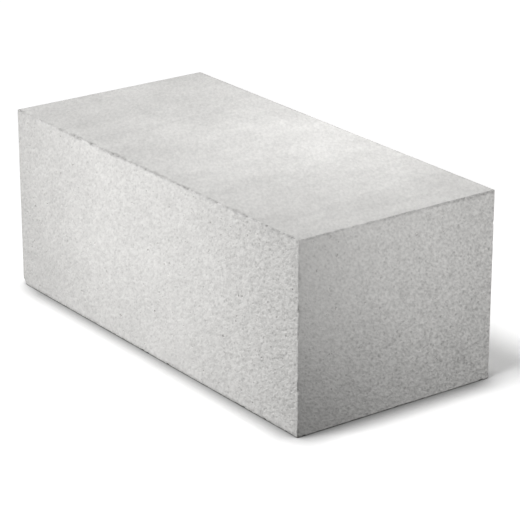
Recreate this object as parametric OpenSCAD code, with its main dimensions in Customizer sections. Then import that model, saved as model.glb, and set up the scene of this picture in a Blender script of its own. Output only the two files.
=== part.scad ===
// Aerated concrete wall block with plain faces: one piece, cut by wires from a risen cake
// and hardened in steam. X runs along the wall, Y through it and Z up.
// The origin is the middle of the underside.

/* [Block] */
// Length along the wall
block_length = 625; // [200:1:650]
// Thickness through the wall
block_width = 300; // [75:1:500]
// Height of one course
block_height = 250; // [100:1:300]

/* [Edges] */
// Radius to which handling has rubbed the wire-cut edges
arris_radius = 1.5; // [0.5:0.1:12]

/* [Hidden] */
// Sides that a full circle is drawn with
$fn = 64;
concrete_grey = "#d8d7d4";

// Rectangle centred on the origin, with its four corners rounded to the arris radius
module eased_rectangle(width, depth) {
    straight_width = width - 2 * arris_radius;
    straight_depth = depth - 2 * arris_radius;
    square([width, straight_depth], center = true);
    square([straight_width, depth], center = true);
    for (side_x = [-1, 1], side_y = [-1, 1])
        translate([side_x * straight_width / 2, side_y * straight_depth / 2])
            circle(arris_radius);
}

// Prism centred on the origin, with the eased rectangle as its section and Z as its axis
module eased_prism(width, depth, height) {
    linear_extrude(height, center = true)
        eased_rectangle(width, depth);
}

// The block is what its plan, its side view and its end view have in common,
// so that every arris and corner is rounded alike
module block() {
    color(concrete_grey)
        translate([0, 0, block_height / 2])
            intersection() {
                eased_prism(block_length, block_width, block_height);
                rotate([90, 0, 0])
                    eased_prism(block_length, block_height, block_width);
                rotate([0, 90, 0])
                    eased_prism(block_height, block_width, block_length);
            }
}

block();
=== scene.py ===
import math

import bmesh
import bpy
import numpy as np
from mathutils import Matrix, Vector, noise


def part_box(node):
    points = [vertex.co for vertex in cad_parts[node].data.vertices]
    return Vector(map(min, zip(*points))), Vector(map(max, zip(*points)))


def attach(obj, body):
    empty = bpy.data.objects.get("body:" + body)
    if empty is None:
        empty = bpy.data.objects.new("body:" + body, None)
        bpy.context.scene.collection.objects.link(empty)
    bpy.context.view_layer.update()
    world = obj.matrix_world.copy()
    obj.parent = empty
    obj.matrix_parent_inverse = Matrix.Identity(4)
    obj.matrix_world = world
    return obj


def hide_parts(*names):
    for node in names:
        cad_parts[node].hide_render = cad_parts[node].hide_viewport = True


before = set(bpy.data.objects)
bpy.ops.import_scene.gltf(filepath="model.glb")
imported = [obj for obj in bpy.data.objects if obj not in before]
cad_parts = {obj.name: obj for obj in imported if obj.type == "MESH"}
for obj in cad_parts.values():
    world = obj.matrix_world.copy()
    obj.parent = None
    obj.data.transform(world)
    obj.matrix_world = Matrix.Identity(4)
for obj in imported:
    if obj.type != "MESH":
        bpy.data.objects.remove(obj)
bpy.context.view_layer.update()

# Concrete block: one solid piece of aerated concrete. Gas raises the wet mix into a cake full of bubbles,
# wires cut the cake into blocks while it is soft, and steam hardens them. The wires open the bubbles
# that they pass through, so the faces are pitted, and the arrises are crisp but crumbled here and there.
mm = 0.001
scene = bpy.context.scene
low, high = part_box("block")
planes = (low, high)
size = high - low
arris_radius = 1.5 * mm
panel = 25 * mm

# The faces are cut into panels, so that no face of the mesh has thousands of pores in it
solid = bmesh.new()
bmesh.ops.create_cube(solid, size=1.0)
bmesh.ops.scale(solid, vec=size, verts=solid.verts)
bmesh.ops.translate(solid, vec=(low + high) / 2, verts=solid.verts)
bmesh.ops.bevel(
    solid, geom=solid.edges[:], offset=arris_radius, affect="EDGES", segments=3, profile=0.5, material=-1
)
for axis in range(3):
    panels = round(size[axis] / panel)
    across = Vector([float(axis == i) for i in range(3)])
    for step in range(1, panels):
        whole = solid.verts[:] + solid.edges[:] + solid.faces[:]
        bmesh.ops.bisect_plane(solid, geom=whole, plane_co=low.lerp(high, step / panels), plane_no=across)
block_mesh = bpy.data.meshes.new("concrete_block")
solid.to_mesh(block_mesh)
solid.free()
block = bpy.data.objects.new("concrete_block", block_mesh)
scene.collection.objects.link(block)

# Corners, crumbs and bubbles are cut out of the block. Each books its place first, so that no two touch,
# in a grid of cells that are wider than the two largest of them together.
rng = np.random.default_rng(625)
room = 1.04
cell = 48 * mm
taken = {}
cutters = []

# The kinds of face are numbered in the order of their finishes
SIDE, END, BED, PORE = range(4)


def has_room(centre, radius):
    """Books the place of a loss and returns True, unless it would touch one that is already there."""
    home = np.floor(centre / cell).astype(int)
    for i in range(27):
        near = (home[0] + i % 3 - 1, home[1] + i // 3 % 3 - 1, home[2] + i // 9 - 1)
        for other, other_radius in taken.get(near, ()):
            if np.sum((centre - other) ** 2) < (room * (radius + other_radius)) ** 2:
                return False
    taken.setdefault(tuple(home), []).append((centre, radius))
    return True


def cut_away(name, form, shapes, centres):
    """Cuts copies of a form out of the block, each with its own 3 by 3 shape matrix and centre."""
    corners = np.array([v.co for v in form.verts])
    form.verts.index_update()
    triangles = np.array([[v.index for v in f.verts] for f in form.faces])
    form.free()
    places = np.einsum("nij,vj->nvi", shapes, corners) + centres[:, None]
    faces = triangles + len(corners) * np.arange(len(centres))[:, None, None]
    mesh = bpy.data.meshes.new(name)
    mesh.from_pydata(places.reshape(-1, 3).tolist(), [], faces.reshape(-1, 3).tolist())
    mesh.polygons.foreach_set("material_index", np.full(len(mesh.polygons), PORE, np.int32))
    cutter = bpy.data.objects.new(name, mesh)
    scene.collection.objects.link(cutter)
    cut = block.modifiers.new(name, "BOOLEAN")
    cut.object, cut.operation, cut.solver = cutter, "DIFFERENCE", "MANIFOLD"
    cutters.append(cutter)


# Knocked corners: breaks that are nearly flat, each made by a large rough ball that reaches in at a corner.
# A corner is given by its sides on X, Y and Z, nought for low and one for high, and by its break's depth.
knocks = (
    ((0, 0, 0), 5.5 * mm),
    ((0, 1, 1), 2.4 * mm),
    ((1, 1, 1), 1.6 * mm),
    ((1, 0, 1), 1.3 * mm),
    ((1, 0, 0), 1.6 * mm),
    ((0, 0, 1), 1.5 * mm),
)
ball = 30 * mm
break_grain = 4 * mm
break_relief = 0.9 * mm
reach_for_depth = 1.9
grain_shift = 40
for sides, depth in knocks:
    outward = Vector([2 * side - 1 for side in sides]).normalized()
    corner = Vector([planes[side][axis] for axis, side in enumerate(sides)])
    form = bmesh.new()
    bmesh.ops.create_icosphere(form, subdivisions=5, radius=ball)
    for v in form.verts:
        v.co += v.co.normalized() * noise.noise(v.co / break_grain + corner * grain_shift) * break_relief
    has_room(np.array(corner), depth * reach_for_depth)
    cut_away("knock", form, np.eye(3)[None], np.array([corner + outward * (ball - depth)]))


def turned_at_random(count):
    """Random rotation matrices. A mirror image among them is turned back by its determinant."""
    turns = np.linalg.qr(rng.normal(size=(count, 3, 3)))[0]
    return turns * np.linalg.det(turns)[:, None, None]


# Crumbs lost from the arrises: most are nicks, and some are shallow breaks along the arris. The foot,
# on which the block has stood, has lost larger ones, with shorter gaps between them, and the upright
# arrises are nearly whole.
crumb_radii = (0.9 * mm, 2.4 * mm)
crumb_pitch = np.array([2 * mm, 14 * mm])
upright_spacing, foot_spacing = 6, 0.6
foot_growth = 1.5
foot_breaks, other_breaks = 0.6, 0.25
break_length, nick_length = (3, 6), (1, 2.2)
mostly_small = 3
found = []
for axis in range(3):
    for sides in ((0, 0), (0, 1), (1, 0), (1, 1)):
        foot = axis < 2 and sides[1 - axis] == 0
        pitch = crumb_pitch * (upright_spacing if axis == 2 else foot_spacing if foot else 1)
        along = rng.uniform(*pitch)
        while along < size[axis]:
            centre = np.zeros(3)
            centre[axis] = low[axis] + along
            centre[axis - 2] = planes[sides[0]][axis - 2]
            centre[axis - 1] = planes[sides[1]][axis - 1]
            radius = crumb_radii[0] + (crumb_radii[1] - crumb_radii[0]) * rng.random() ** mostly_small
            radius *= foot_growth if foot else 1
            is_break = rng.random() < (foot_breaks if foot else other_breaks)
            stretch = np.eye(3)
            stretch[axis, axis] = rng.uniform(*(break_length if is_break else nick_length))
            if has_room(centre, radius * stretch[axis, axis]):
                found.append((centre, stretch * radius))
                along += radius * stretch[axis, axis]
            along += rng.uniform(*pitch)
centres, stretches = [np.array(column) for column in zip(*found)]
form = bmesh.new()
bmesh.ops.create_icosphere(form, subdivisions=1, radius=1)
cut_away("crumbs", form, stretches @ turned_at_random(len(centres)), centres)


def seated(count, radii, axes, lift):
    """Places bubbles at random on the faces across the given axes, the largest first, with their centres
    outside the face by a share of the radius. Returns centres, radii and face normals."""
    mostly_small = 2.2
    attempts = 30
    faces = [(axis, side) for axis in axes for side in (0, 1)]
    areas = np.array([size[axis - 1] * size[axis - 2] for axis, side in faces])
    found = []
    for share in np.sort(rng.random(count) ** mostly_small)[::-1]:
        radius = radii[0] + (radii[1] - radii[0]) * share
        for attempt in range(attempts):
            axis, side = faces[rng.choice(len(faces), p=areas / areas.sum())]
            normal = np.zeros(3)
            normal[axis] = 2 * side - 1
            centre = np.array(low) + rng.random(3) * np.array(size)
            centre[axis] = planes[side][axis]
            centre += normal * radius * rng.uniform(*lift)
            if has_room(centre, radius):
                found.append((centre, radius, normal))
                break
    return [np.array(column) for column in zip(*found)]


# Opened bubbles lie mostly outside the face, so that what each leaves in it is a bowl with no overhang.
# The larger ones are made rounder, by one more subdivision. The beds are smoother and have few.
pore_groups = (
    ("large_pores", 2, dict(count=180, radii=(2.0 * mm, 3.0 * mm), axes=(0, 1), lift=(0.2, 0.6))),
    ("middle_pores", 2, dict(count=600, radii=(1.5 * mm, 2.0 * mm), axes=(0, 1), lift=(0.35, 0.75))),
    ("fine_pores", 1, dict(count=1800, radii=(1.0 * mm, 1.5 * mm), axes=(0, 1), lift=(0.45, 0.8))),
    ("bed_pores", 1, dict(count=180, radii=(0.9 * mm, 1.4 * mm), axes=(2,), lift=(0.6, 0.85))),
)
flattening = 0.15
for name, subdivisions, pores in pore_groups:
    centres, radii, normals = seated(**pores)
    form = bmesh.new()
    bmesh.ops.create_icosphere(form, subdivisions=subdivisions, radius=1)
    flat = np.eye(3) - flattening * normals[:, :, None] * normals[:, None, :]
    cut_away(name, form, flat @ turned_at_random(len(radii)) * radii[:, None, None], centres)

bpy.context.view_layer.update()
cut_mesh = bpy.data.meshes.new_from_object(block.evaluated_get(bpy.context.evaluated_depsgraph_get()))
block.modifiers.clear()
block.data = cut_mesh
for cutter in cutters:
    bpy.data.objects.remove(cutter)


def values(elements, name, width, kind=np.float32):
    """One property of every element of a mesh, as an array with that many columns."""
    column = np.zeros(width * len(elements), kind)
    elements.foreach_get(name, column)
    return column.reshape(-1, width)


# Faces that no cutter made are told apart by their normals, and only rounded and broken ones are smooth
quite_flat = 0.9999
facing = values(cut_mesh.polygons, "normal", 3)
middles = values(cut_mesh.polygons, "center", 3)
cut_kinds = values(cut_mesh.polygons, "material_index", 1, np.int32)[:, 0]
plain_kinds = np.array([END, SIDE, BED])[np.abs(facing).argmax(axis=1)]
kinds = np.where(cut_kinds == PORE, PORE, plain_kinds).astype(np.int32)
cut_mesh.polygons.foreach_set("use_smooth", np.abs(facing).max(axis=1) < quite_flat)

# The six sides lie apart on one square sheet, for a baked picture of the finish: beds and long sides in
# a column, and the ends beside it. A face goes to the side that it looks out of, or to one much nearer.
margin = 10 * mm
much_nearer = 4 * mm
sheet_side = 2 * (size.y + size.z) + 5 * margin
best = np.full(len(facing), -np.inf)
layout = np.zeros((len(facing), 4))
corner_u, corner_v = margin, margin
for axis, side in ((2, 0), (2, 1), (1, 0), (1, 1), (0, 0), (0, 1)):
    if (axis, side) == (0, 0):
        corner_u, corner_v = size.x + 2 * margin, margin
    along_u, along_v = [other for other in range(3) if other != axis]
    depth = np.abs(middles[:, axis] - planes[side][axis])
    score = facing[:, axis] * (2 * side - 1) - depth / much_nearer
    chosen = score > best
    best[chosen] = score[chosen]
    layout[chosen] = along_u, along_v, corner_u - low[along_u], corner_v - low[along_v]
    corner_v += size[along_v] + margin
corners_in_face = values(cut_mesh.polygons, "loop_total", 1, np.int32)[:, 0]
corner_vertices = values(cut_mesh.loops, "vertex_index", 1, np.int32)[:, 0]
places = values(cut_mesh.vertices, "co", 3)[corner_vertices]
layout = np.repeat(layout, corners_in_face, axis=0)
row = np.arange(len(places))
sheet = np.stack([places[row, layout[:, i].astype(int)] + layout[:, i + 2] for i in (0, 1)], axis=1)
sheet_map = cut_mesh.uv_layers.new(name="OFBake")
sheet_map.uv.foreach_set("vector", (sheet / sheet_side).astype(np.float32).ravel())

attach(block, "root")
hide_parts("block")


def linear(hex_colour):
    """An sRGB hex colour as linear red, green and blue."""
    channels = [int(hex_colour[i:i + 2], 16) / 255 for i in (1, 3, 5)]
    return [c / 12.92 if c <= 0.04045 else ((c + 0.055) / 1.055) ** 2.4 for c in channels]


def add(tree, kind, inputs, **settings):
    """Adds a node with its settings, sets or links its inputs, by name or number, and returns an output."""
    node = tree.nodes.new("ShaderNode" + kind)
    output = settings.pop("output", 0)
    for name, value in settings.items():
        setattr(node, name, value)
    for name, value in inputs.items():
        if isinstance(value, bpy.types.NodeSocket):
            tree.links.new(value, node.inputs[name])
        else:
            node.inputs[name].default_value = value
    return node.outputs[output] if node.outputs else node


def painted_arris_shade(tree, where):
    """A dark line of painted shade along the arrises, the shade that their crumbled edges hold, from nought
    to one. Of the distances from a point of the surface to the three nearest face planes, the second
    smallest is its distance to an arris."""
    apart = add(tree, "VectorMath", {0: where, 1: (low + high) / 2}, operation="SUBTRACT")
    apart = add(tree, "VectorMath", {0: apart}, operation="ABSOLUTE")
    apart = add(tree, "VectorMath", {0: size / 2, 1: apart}, operation="SUBTRACT")

    # The line reaches in furthest from the planes of the long sides, and least from those of the ends
    stretched = (2.5, 0.7, 1.0)
    apart = add(tree, "VectorMath", {0: apart, 1: stretched}, operation="MULTIPLY")
    x, y, z = add(tree, "SeparateXYZ", {0: apart}).node.outputs
    lesser = add(tree, "Math", {0: x, 1: y}, operation="MINIMUM")
    greater = add(tree, "Math", {0: x, 1: y}, operation="MAXIMUM")
    second = add(tree, "Math", {0: greater, 1: z}, operation="MINIMUM")
    second = add(tree, "Math", {0: second, 1: lesser}, operation="MAXIMUM")

    # It comes and goes along its arris, and grows steady only along the near end's top, towards the back
    patch = 16 * mm
    least, most = 0.5 * mm, 4.5 * mm
    course = {"Vector": where, "W": 1.0, "Scale": 1 / patch, "Detail": 2.0}
    wander = add(tree, "TexNoise", course, noise_dimensions="4D")
    wander = add(tree, "MapRange", {0: wander, 1: 0.35, 2: 0.65, 3: least, 4: most})
    x, y, z = add(tree, "SeparateXYZ", {0: where}).node.outputs
    end_arris = add(tree, "MapRange", {0: x, 1: high.x - 4 * mm, 2: high.x - 1 * mm})
    at_top = add(tree, "MapRange", {0: z, 1: high.z - 10 * mm, 2: high.z - 5 * mm})
    at_back = add(tree, "MapRange", {0: y, 1: low.y + 100 * mm, 2: high.y - 50 * mm})
    for share in (at_top, at_back):
        end_arris = add(tree, "Math", {0: end_arris, 1: share}, operation="MULTIPLY")
    steady = add(tree, "MapRange", {0: end_arris, 3: 1.0, 4: 0.3})
    wander = add(tree, "Math", {0: wander, 1: steady}, operation="MULTIPLY")
    second = add(tree, "Math", {0: wander, 1: second}, operation="ADD")
    outer, core = 6 * mm, 2 * mm
    line = add(tree, "MapRange", {0: second, 1: outer, 2: core}, interpolation_type="SMOOTHSTEP")

    # It fades out towards the foot, and nearly so at the back
    upper = add(tree, "MapRange", {0: z, 1: low.z, 2: high.z, 3: 0.0, 4: 1.0})
    near = add(tree, "MapRange", {0: y, 1: high.y - 15 * mm, 2: high.y, 3: 1.0, 4: 0.2})
    near = add(tree, "Math", {0: near, 1: end_arris}, operation="MAXIMUM")
    for share in (upper, near):
        line = add(tree, "Math", {0: line, 1: share}, operation="MULTIPLY")
    return line


def painted_foot_shade(tree, where):
    """Painted shade in a band along the foot of the front side, where it stands on the floor, from nought to
    one.
    """
    outer, core = low.z + 6 * mm, low.z + 2 * mm
    x, y, z = add(tree, "SeparateXYZ", {0: where}).node.outputs
    foot = add(tree, "MapRange", {0: z, 1: outer, 2: core}, interpolation_type="SMOOTHSTEP")
    front = add(tree, "MapRange", {0: y, 1: low.y + 3 * mm, 2: low.y + 1 * mm})
    return add(tree, "Math", {0: foot, 1: front}, operation="MULTIPLY")


def concrete(
    name, grain, grain_size, slant, pits=0, clouds=0.2, bands=0, shade=0, arris_shade_share=0.28,
    start=(0, 0, 0), coarser=(0, 0, 0)
):
    """Aerated concrete as one kind of face shows it. The shares grain, pits, clouds, bands and the painted
    shade along the arrises say how far each pattern lightens or darkens it, and shade darkens all of it as
    painted shade. The pits darken the colour as painted shade of hollows, and the bands are painted shading
    of low ridges. The grain is stretched to grain_size and turned by slant, in degrees. From start on, grain
    and pits grow stronger along coarser, by that share a metre, in the bump and as painted shading in the
    colour."""
    made = bpy.data.materials.new(name)
    made.use_nodes = True
    tree = made.node_tree
    tree.nodes.clear()
    where = add(tree, "TexCoord", {}, output="Object")

    # Open pores too small to model, of uneven depth, their hollows darkened as painted shade and sunk in the
    # bump, and the grain that the wire drags along
    pit_spacing = 5.5 * mm
    pores = add(tree, "TexVoronoi", {"Vector": where, "Scale": 1 / pit_spacing}).node.outputs
    bowl = add(tree, "MapRange", {0: pores["Distance"], 1: 0.5, 2: 0.05}, interpolation_type="SMOOTHSTEP")
    depth = add(tree, "MapRange", {0: pores["Color"], 1: 0.2, 2: 0.8, 3: 0.3, 4: 1.3})
    pit = add(tree, "Math", {0: bowl, 1: depth}, operation="MULTIPLY")
    turn = [math.radians(angle) for angle in slant]
    grains = add(tree, "VectorRotate", {"Vector": where, "Rotation": turn}, rotation_type="EULER_XYZ")
    grains = add(tree, "VectorMath", {0: grains, 1: grain_size}, operation="DIVIDE")
    fine = add(tree, "TexNoise", {"Vector": grains, "Scale": 1.0, "Detail": 1.0, "Distortion": 0.4})
    fine = add(tree, "Math", {0: fine, 1: 0.5}, operation="SUBTRACT")
    # From start on, grain and pits grow stronger: in the bump, and in the colour as painted shading of the
    # relief where light grazes
    growth = add(tree, "VectorMath", {0: where, 1: start}, operation="SUBTRACT")
    growth = add(tree, "VectorMath", {0: growth, 1: coarser}, operation="DOT_PRODUCT", output="Value")
    growth = add(tree, "Math", {0: growth, 1: 0.0}, operation="MAXIMUM")
    growth = add(tree, "Math", {0: growth, 1: 1.0}, operation="ADD")
    pit = add(tree, "Math", {0: pit, 1: growth}, operation="MULTIPLY")
    fine = add(tree, "Math", {0: fine, 1: growth}, operation="MULTIPLY")

    # Clouds of tone, and faint bands across a bed, painted shading of the low ridges that the wire leaves
    cloud_size = 80 * mm
    band_width, band_length = 26 * mm, 300 * mm
    per_band = (1 / band_width, 1 / band_length, 0)
    drift = {"Vector": where, "Scale": 1 / cloud_size, "Detail": 3.0, "Roughness": 0.7}
    cloud = add(tree, "TexNoise", drift)
    streak = add(tree, "VectorMath", {0: where, 1: per_band}, operation="MULTIPLY")
    band = add(tree, "TexNoise", {"Vector": streak, "Scale": 1.0, "Detail": 1.0})

    # The first tone makes up for what pits, clouds and bands take away or add on the whole
    mean_pit, mean_noise = 0.25, 0.5
    foot_shade_share = 0.17
    tone = 1 - shade + mean_pit * pits - mean_noise * (clouds + bands)
    # Of these patterns, the pits, the bands, the line along the arrises and the band along the foot are
    # painted shade
    patterns = (
        (pit, -pits), (fine, grain), (cloud, clouds), (band, bands),
        (painted_arris_shade(tree, where), -arris_shade_share), (painted_foot_shade(tree, where), -foot_shade_share),
    )
    for pattern, share in patterns:
        tone = add(tree, "Math", {0: pattern, 1: share, 2: tone}, operation="MULTIPLY_ADD")
    colour = add(tree, "VectorMath", {0: linear("#d9d8d6"), "Scale": tone}, operation="SCALE")
    height = add(tree, "Math", {0: fine, 1: grain}, operation="MULTIPLY")
    height = add(tree, "Math", {0: pit, 1: -pits, 2: height}, operation="MULTIPLY_ADD")
    bump = add(tree, "Bump", {"Height": height, "Distance": 1.5 * mm, "Strength": 1.0})
    matt = {"Roughness": 0.92, "Specular IOR Level": 0.2}
    shader = add(tree, "BsdfPrincipled", {"Base Color": colour, "Normal": bump, **matt})
    add(tree, "OutputMaterial", {"Surface": shader})
    return made


# Aerated concrete is chalky: a pale, slightly warm grey with a dry, dull face and no gloss. Its tone drifts
# in clouds, and the wire drags its grain into short slanted strokes. The real grain and smallest pits are
# finer than a pixel of the render, so they are drawn as coarse as they need to show.
finishes = (
    # The long sides: strokes and shallow pits, which grow stronger towards the near end, in relief and as
    # painted shading
    ("wire_cut_side", dict(
        grain=0.39, grain_size=(5.7 * mm, 3.7 * mm, 3.7 * mm), slant=(0, 30, 0), pits=0.10,
        start=(70 * mm, 0, 0), coarser=(2.6, 0, 0))),
    # The ends: finer strokes and fainter pits, which grow stronger towards the back and the foot, in relief
    # and as painted shading
    ("wire_cut_end", dict(
        grain=0.34, grain_size=(3.3 * mm, 4.8 * mm, 3.1 * mm), slant=(35, 0, 0), pits=0.08,
        start=(high.x, low.y, high.z), coarser=(0, 4.1, -3.5))),
    # The beds: no pits, longer strokes, stronger clouds of tone and faint bands of painted shading
    ("wire_cut_bed", dict(
        grain=0.35, grain_size=(7.8 * mm, 3.5 * mm, 3.5 * mm), slant=(0, 0, 35), clouds=0.32, bands=0.14)),
    # The walls of pores and breaks: a grain alike all ways, painted shade of their hollows all over, and
    # more painted shade along the arrises than the faces
    ("pore_wall", dict(
        grain=0.3, grain_size=(3.5 * mm, 3.5 * mm, 3.5 * mm), slant=(0, 0, 0), shade=0.1, arris_shade_share=0.4)),
)

# Emptying a mesh's slots resets all its faces to the first one, so the faces are given their finishes last
cut_mesh.materials.clear()
for name, finish in finishes:
    cut_mesh.materials.append(concrete(name, **finish))
cut_mesh.polygons.foreach_set("material_index", kinds)


def seen_by_eye(tree):
    """One for rays that show the stage, in view, in a reflection or through glass, and nought for the light
    that it throws back."""
    path = add(tree, "LightPath", {}).node.outputs
    seen = add(tree, "Math", {0: path["Is Camera Ray"], 1: path["Is Glossy Ray"]}, operation="MAXIMUM")
    return add(tree, "Math", {0: seen, 1: path["Is Transmission Ray"]}, operation="MAXIMUM")


# Floor: a plain sheet of white paper that the block stands on, which isn't part of it. Paper is matt and
# even, so it shows white, with the block's shadow, and a soft shade along its foot that is painted into its
# colour from how much the block hides it. It is made to throw little light back. The shade is strong in
# front and faint behind, in the shadow, and at the far end.
floor_reach = 20
shade_reach = 38 * mm
front_shade, back_shade = 1.7, 0.3
back_fade = 30 * mm
far_end_share = 0.15
white_in_view = 1.72
bounce = 0.06
paper_sheet = bmesh.new()
bmesh.ops.create_grid(paper_sheet, x_segments=1, y_segments=1, size=floor_reach)
floor_mesh = bpy.data.meshes.new("floor")
paper_sheet.to_mesh(floor_mesh)
paper_sheet.free()
floor = bpy.data.objects.new("floor", floor_mesh)
scene.collection.objects.link(floor)
paper = bpy.data.materials.new("white_paper")
paper.use_nodes = True
tree = paper.node_tree
tree.nodes.clear()
shade = add(tree, "AmbientOcclusion", {"Distance": shade_reach}, samples=16, output="AO")
x, y, z = add(tree, "SeparateXYZ", {0: add(tree, "TexCoord", {}, output="Object")}).node.outputs
back = {1: high.y - back_fade, 2: high.y + back_fade, 3: front_shade, 4: back_shade}
depth = add(tree, "MapRange", {0: y, **back})
far_fade = add(tree, "MapRange", {0: x, 1: low.x + 50 * mm, 2: low.x - 20 * mm, 3: 1.0, 4: far_end_share})
depth = add(tree, "Math", {0: depth, 1: far_fade}, operation="MULTIPLY")
shade = add(tree, "Math", {0: shade, 1: depth}, operation="POWER")
shade = add(tree, "Math", {0: shade, 1: white_in_view}, operation="MULTIPLY")
tone = add(tree, "Mix", {"Factor": seen_by_eye(tree), 2: bounce, 3: shade})
add(tree, "OutputMaterial", {"Surface": add(tree, "BsdfDiffuse", {"Color": tone})})
floor_mesh.materials.append(paper)

# Lamps: square soft boxes around the block, which light it alone, and a broad overhead lamp, which also
# throws its shadow. Each box has a place, a target, the length of its side and its watts. The room itself
# gives a little even light, and shows white.
lit_by_boxes = bpy.data.collections.new("lit_by_boxes")
lit_by_boxes.objects.link(block)
soft_boxes = (
    ("long_side", (-0.05, -0.77, 0.2), (-0.06, -0.2, 0.36), 0.4, 3.34),
    ("near_end", (0.822, -0.056, 0.15), (0.64, 0.18, 0.46), 0.3, 2.51),
    ("top", (0.07, 0.24, 0.527), (0.01, -0.068, 0.47), 0.15, 0.76),
    ("back", (0, 1.27, 0.395), (0, 0, 0.125), 0.8, 7),
    ("far_end", (-1.27, 0, 0.395), (0, 0, 0.125), 0.8, 7),
)
for name, place, target, side, watts in soft_boxes:
    lamp = bpy.data.lights.new(name, "AREA")
    lamp.size, lamp.energy = side, watts
    holder = bpy.data.objects.new(name, lamp)
    holder.location = place
    holder.rotation_euler = (Vector(target) - Vector(place)).to_track_quat("-Z", "Y").to_euler()
    holder.visible_camera = False
    holder.light_linking.receiver_collection = lit_by_boxes
    scene.collection.objects.link(holder)
overhead = bpy.data.lights.new("overhead", "SUN")
overhead.energy, overhead.angle = 1.26, math.radians(20)
holder = bpy.data.objects.new("overhead", overhead)
holder.rotation_euler = (math.radians(22.5), 0, math.radians(-7.5))
scene.collection.objects.link(holder)
room_light = 0.25
world = bpy.data.worlds.new("studio")
world.use_nodes = True
scene.world = world
tree = world.node_tree
tree.nodes.clear()
seen = seen_by_eye(tree)
strength = add(tree, "Math", {0: seen, 1: 1 - room_light, 2: room_light}, operation="MULTIPLY_ADD")
add(tree, "OutputWorld", {"Surface": add(tree, "Background", {"Color": (1, 1, 1, 1), "Strength": strength})})

# Camera: a long lens that looks down on the near end and the front side. Its place and aim were fitted to
# the seven corners of the block that show in the photo.
camera_data = bpy.data.cameras.new("camera")
camera_data.sensor_width, camera_data.lens = 36, 169.4
camera = bpy.data.objects.new("camera", camera_data)
camera.location = (2.4077, -1.7433, 1.2304)
aim = Vector((0.0729, -0.0290, 0.125))
camera.rotation_euler = (aim - camera.location).to_track_quat("-Z", "Y").to_euler()
scene.collection.objects.link(camera)
scene.camera = camera
scene.view_settings.view_transform = "Standard"
